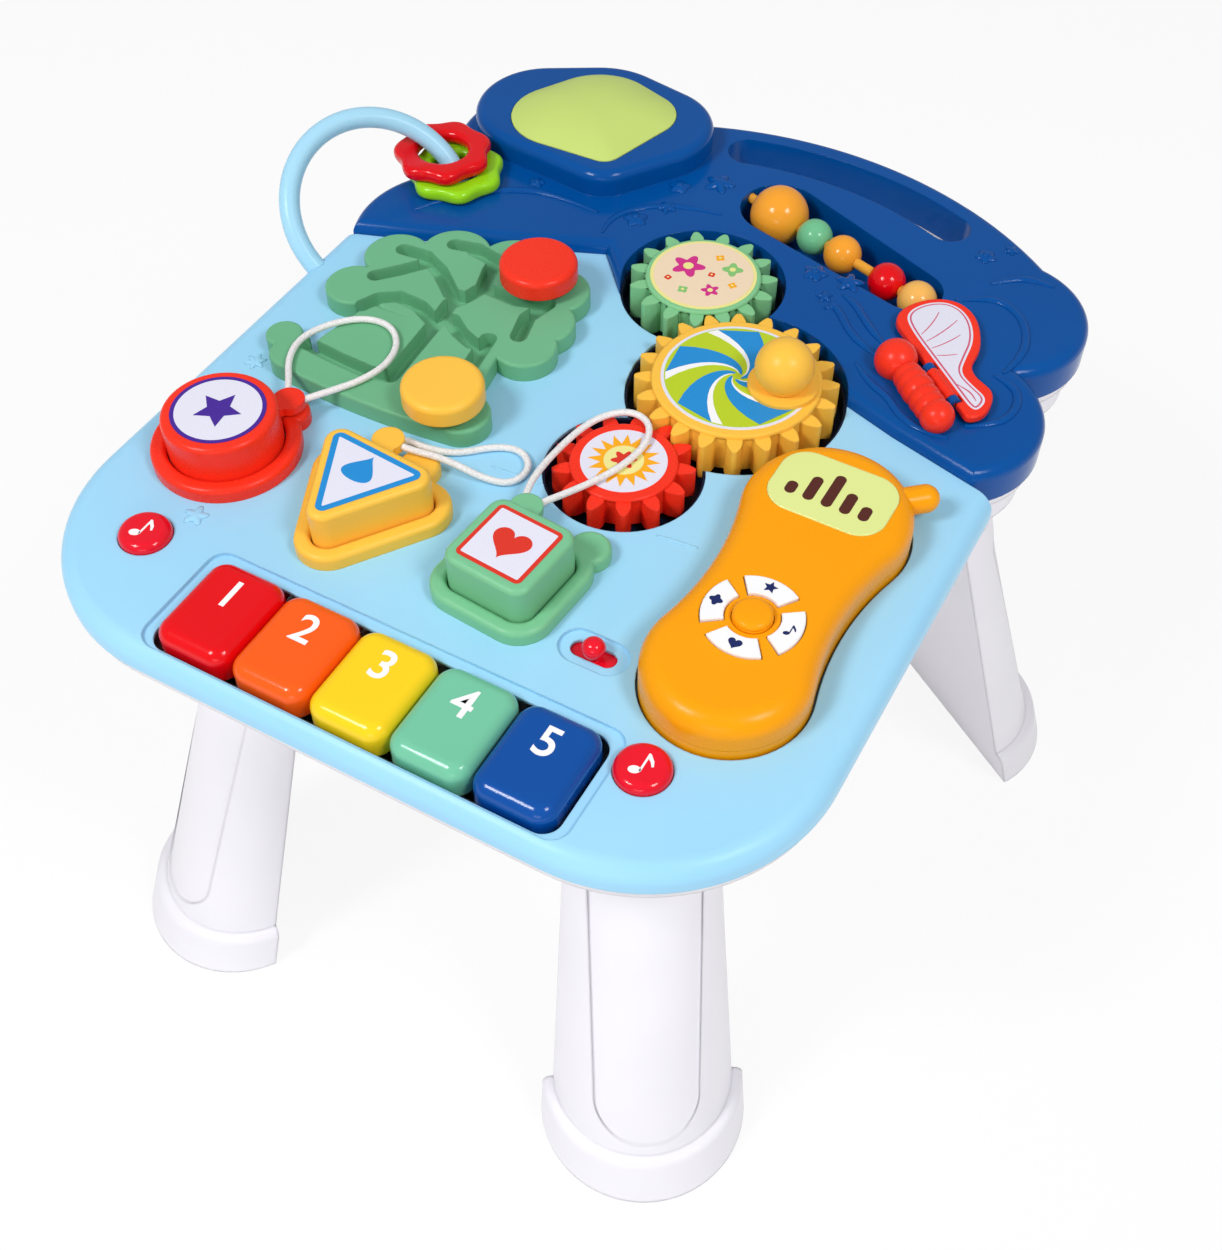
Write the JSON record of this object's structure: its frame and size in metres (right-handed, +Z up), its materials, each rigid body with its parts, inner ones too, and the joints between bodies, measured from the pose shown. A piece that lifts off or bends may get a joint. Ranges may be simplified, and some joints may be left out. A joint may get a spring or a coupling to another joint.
{
  "type": "toddler activity table",
  "caption": "Low legged activity table with piano keys, meshing gears, bead rod, ring arch, tree maze, lift-out shape blocks on cords, spring buttons and a toy telephone in its cradle.",
  "frame": {"origin": "on the floor, under the middle of the table's box", "axes": "+Z up from the floor, -Y towards the piano keys and the child, +X along the key row from the red key to the blue key"},
  "size_m": [0.4328, 0.4468, 0.3033],
  "materials": {
    "light_blue": "satin moulded plastic, light blue",
    "dark_blue": "satin moulded plastic, dark blue",
    "pit_blue": "dark moulded plastic",
    "white": "satin moulded plastic, white",
    "cell": "labelled cell jackets",
    "board": "printed circuit board",
    "speaker": "black cone and magnet",
    "steel": "plain steel",
    "mat": "contact rubber",
    "key_red": "gloss",
    "key_orange": "gloss",
    "key_yellow": "gloss",
    "key_green": "gloss",
    "key_blue": "gloss",
    "button_red": "gloss",
    "red": "satin",
    "yellow": "satin",
    "green": "satin",
    "lime": "gloss",
    "tube_blue": "satin",
    "pad_lime": "translucent looking satin",
    "bead_amber": "gloss",
    "bead_green": "gloss",
    "rod_amber": "satin",
    "cord_white": "woven cord",
    "phone_orange": "gloss",
    "screen_lime": "gloss",
    "button_white": "gloss"
  },
  "bodies": {
    "table": {"bottom_tray": "white", "front_panel": "light_blue", "rear_panel": "dark_blue", "gear_tray": "pit_blue", "leg_front_left": "white", "leg_front_right": "white", "leg_rear_left": "white", "leg_rear_right": "white", "battery_door": "white", "battery_cells": "cell", "circuit_board": "board", "speaker": "speaker", "case_screws": "steel", "key_pivot_rod": "steel", "contact_mat": "mat", "maze_plate": "green", "socket_round": "red", "socket_triangle": "yellow", "socket_square": "green", "ring_tube": "tube_blue", "bead_rod": "rod_amber", "dragonfly_body": "red", "wing_hinge_pin": "steel"},
    "yellow_gear": {"gear_yellow": "yellow", "crank_knob": "yellow"},
    "red_gear": {"gear_red": "red"},
    "green_gear": {"gear_green": "green"},
    "red_knob": {"maze_knob_red": "red"},
    "yellow_knob": {"maze_knob_yellow": "yellow"},
    "round_block": {"block_round": "red", "cord_round": "cord_white"},
    "triangle_block": {"block_triangle": "yellow", "cord_triangle": "cord_white"},
    "square_block": {"block_square": "green", "cord_square": "cord_white"},
    "green_ring": {"ring_green": "lime"},
    "red_ring": {"ring_red": "red"},
    "pad": {"dome_cover": "pad_lime"},
    "large_bead": {"bead_large": "bead_amber"},
    "green_bead": {"bead_green": "bead_green"},
    "orange_bead": {"bead_orange": "bead_amber"},
    "red_bead": {"bead_red": "red"},
    "pale_bead": {"bead_pale": "bead_amber"},
    "wing": {"dragonfly_wing": "red"},
    "phone": {"phone_shell": "phone_orange", "phone_back": "phone_orange", "phone_screen": "screen_lime"},
    "left_button": {"music_button_left": "button_red"},
    "right_button": {"music_button_right": "button_red"},
    "switch": {"power_switch": "button_red"},
    "phone_center": {"phone_center_button": "phone_orange"},
    "phone_top": {"phone_button_top": "button_white"},
    "phone_right": {"phone_button_right": "button_white"},
    "phone_bottom": {"phone_button_bottom": "button_white"},
    "phone_left": {"phone_button_left": "button_white"},
    "red_key": {"key_red": "key_red"},
    "orange_key": {"key_orange": "key_orange"},
    "yellow_key": {"key_yellow": "key_yellow"},
    "green_key": {"key_green": "key_green"},
    "blue_key": {"key_blue": "key_blue"}
  },
  "joints": [
    {"name": "red_key_press", "type": "hinge", "parent": "table", "child": "red_key", "pos_m": [0.002, -0.1451, 0.251], "axis": [1, 0, 0], "range_deg": [0, 3.5], "stiffness_Nm_per_rad": 1, "springref_deg": -1.15},
    {"name": "orange_key_press", "type": "hinge", "parent": "table", "child": "orange_key", "pos_m": [0.002, -0.1451, 0.251], "axis": [1, 0, 0], "range_deg": [0, 3.5], "stiffness_Nm_per_rad": 1, "springref_deg": -1.15},
    {"name": "yellow_key_press", "type": "hinge", "parent": "table", "child": "yellow_key", "pos_m": [0.002, -0.1451, 0.251], "axis": [1, 0, 0], "range_deg": [0, 3.5], "stiffness_Nm_per_rad": 1, "springref_deg": -1.15},
    {"name": "green_key_press", "type": "hinge", "parent": "table", "child": "green_key", "pos_m": [0.002, -0.1451, 0.251], "axis": [1, 0, 0], "range_deg": [0, 3.5], "stiffness_Nm_per_rad": 1, "springref_deg": -1.15},
    {"name": "blue_key_press", "type": "hinge", "parent": "table", "child": "blue_key", "pos_m": [0.002, -0.1451, 0.251], "axis": [1, 0, 0], "range_deg": [0, 3.5], "stiffness_Nm_per_rad": 1, "springref_deg": -1.15},
    {"name": "left_button_press", "type": "slide", "parent": "table", "child": "left_button", "axis": [0, 0, -1], "range_m": [0, 0.002], "stiffness_N_per_m": 300, "springref_m": -0.001},
    {"name": "right_button_press", "type": "slide", "parent": "table", "child": "right_button", "axis": [0, 0, -1], "range_m": [0, 0.002], "stiffness_N_per_m": 300, "springref_m": -0.001},
    {"name": "pad_press", "type": "slide", "parent": "table", "child": "pad", "axis": [0, 0, -1], "range_m": [0, 0.0025], "stiffness_N_per_m": 400, "springref_m": -0.003},
    {"name": "power_slide", "type": "slide", "parent": "table", "child": "switch", "axis": [1, 0, 0], "range_m": [-0.004, 0.004]},
    {"name": "yellow_gear_turn", "type": "hinge", "parent": "table", "child": "yellow_gear", "pos_m": [0.049, 0.0346, 0.26], "axis": [0, 0, 1], "continuous": true},
    {"name": "red_gear_turn", "type": "hinge", "parent": "table", "child": "red_gear", "pos_m": [0.02859, -0.03093, 0.26], "axis": [0, 0, 1], "continuous": true},
    {"name": "green_gear_turn", "type": "hinge", "parent": "table", "child": "green_gear", "pos_m": [0.00358, 0.0915, 0.26], "axis": [0, 0, 1], "continuous": true},
    {"name": "red_knob_slide", "type": "slide", "parent": "table", "child": "red_knob", "axis": [-0.9884, 0.1521, 0], "range_m": [0, 0.0394]},
    {"name": "yellow_knob_slide", "type": "slide", "parent": "table", "child": "yellow_knob", "axis": [-0.1435, 0.9896, 0], "range_m": [0, 0.0466]},
    {"name": "round_block_lift", "type": "slide", "parent": "table", "child": "round_block", "axis": [0, 0, 1], "range_m": [0, 0.06]},
    {"name": "triangle_block_lift", "type": "slide", "parent": "table", "child": "triangle_block", "axis": [0, 0, 1], "range_m": [0, 0.06]},
    {"name": "square_block_lift", "type": "slide", "parent": "table", "child": "square_block", "axis": [0, 0, 1], "range_m": [0, 0.06]},
    {"name": "green_ring_run", "type": "hinge", "parent": "table", "child": "green_ring", "pos_m": [-0.15982, 0.06306, 0.26719], "axis": [0.617, -0.3246, 0.7169], "range_deg": [0, 60]},
    {"name": "red_ring_run", "type": "hinge", "parent": "table", "child": "red_ring", "pos_m": [-0.15982, 0.06306, 0.26719], "axis": [0.617, -0.3246, 0.7169], "range_deg": [0, 60]},
    {"name": "large_bead_turn", "type": "hinge", "parent": "table", "child": "large_bead", "pos_m": [0.011, 0.1604, 0.262], "axis": [0.9489, -0.3156, 0], "continuous": true},
    {"name": "green_bead_slide", "type": "slide", "parent": "table", "child": "green_bead", "axis": [0.9489, -0.3156, 0], "range_m": [0, 0.006]},
    {"name": "orange_bead_slide", "type": "slide", "parent": "table", "child": "orange_bead", "axis": [0.9489, -0.3156, 0], "range_m": [0, 0.006]},
    {"name": "red_bead_slide", "type": "slide", "parent": "table", "child": "red_bead", "axis": [-0.9489, 0.3156, 0], "range_m": [0, 0.0032]},
    {"name": "pale_bead_turn", "type": "hinge", "parent": "table", "child": "pale_bead", "pos_m": [0.09516, 0.13241, 0.262], "axis": [0.9489, -0.3156, 0], "continuous": true},
    {"name": "wing_lift", "type": "hinge", "parent": "table", "child": "wing", "pos_m": [0.129, 0.07409, 0.2696], "axis": [0.7604, -0.6494, 0], "range_deg": [0, 90]},
    {"name": "phone_lift", "type": "slide", "parent": "table", "child": "phone", "axis": [0, 0, 1], "range_m": [0, 0.06]},
    {"name": "phone_center_press", "type": "slide", "parent": "phone", "child": "phone_center", "axis": [0, 0, -1], "range_m": [0, 0.0015], "stiffness_N_per_m": 300, "springref_m": -0.0005},
    {"name": "phone_top_press", "type": "slide", "parent": "phone", "child": "phone_top", "axis": [0, 0, -1], "range_m": [0, 0.0015], "stiffness_N_per_m": 300, "springref_m": -0.0005},
    {"name": "phone_right_press", "type": "slide", "parent": "phone", "child": "phone_right", "axis": [0, 0, -1], "range_m": [0, 0.0015], "stiffness_N_per_m": 300, "springref_m": -0.0005},
    {"name": "phone_bottom_press", "type": "slide", "parent": "phone", "child": "phone_bottom", "axis": [0, 0, -1], "range_m": [0, 0.0015], "stiffness_N_per_m": 300, "springref_m": -0.0005},
    {"name": "phone_left_press", "type": "slide", "parent": "phone", "child": "phone_left", "axis": [0, 0, -1], "range_m": [0, 0.0015], "stiffness_N_per_m": 300, "springref_m": -0.0005}
  ],
  "couplings": [
    {"joint": "red_gear_turn", "follows": "yellow_gear_turn", "ratio": -1.5385},
    {"joint": "green_gear_turn", "follows": "yellow_gear_turn", "ratio": -1.3333},
    {"joint": "red_ring_run", "follows": "green_ring_run", "ratio": 1},
    {"joint": "orange_bead_slide", "follows": "green_bead_slide", "ratio": 1}
  ]
}
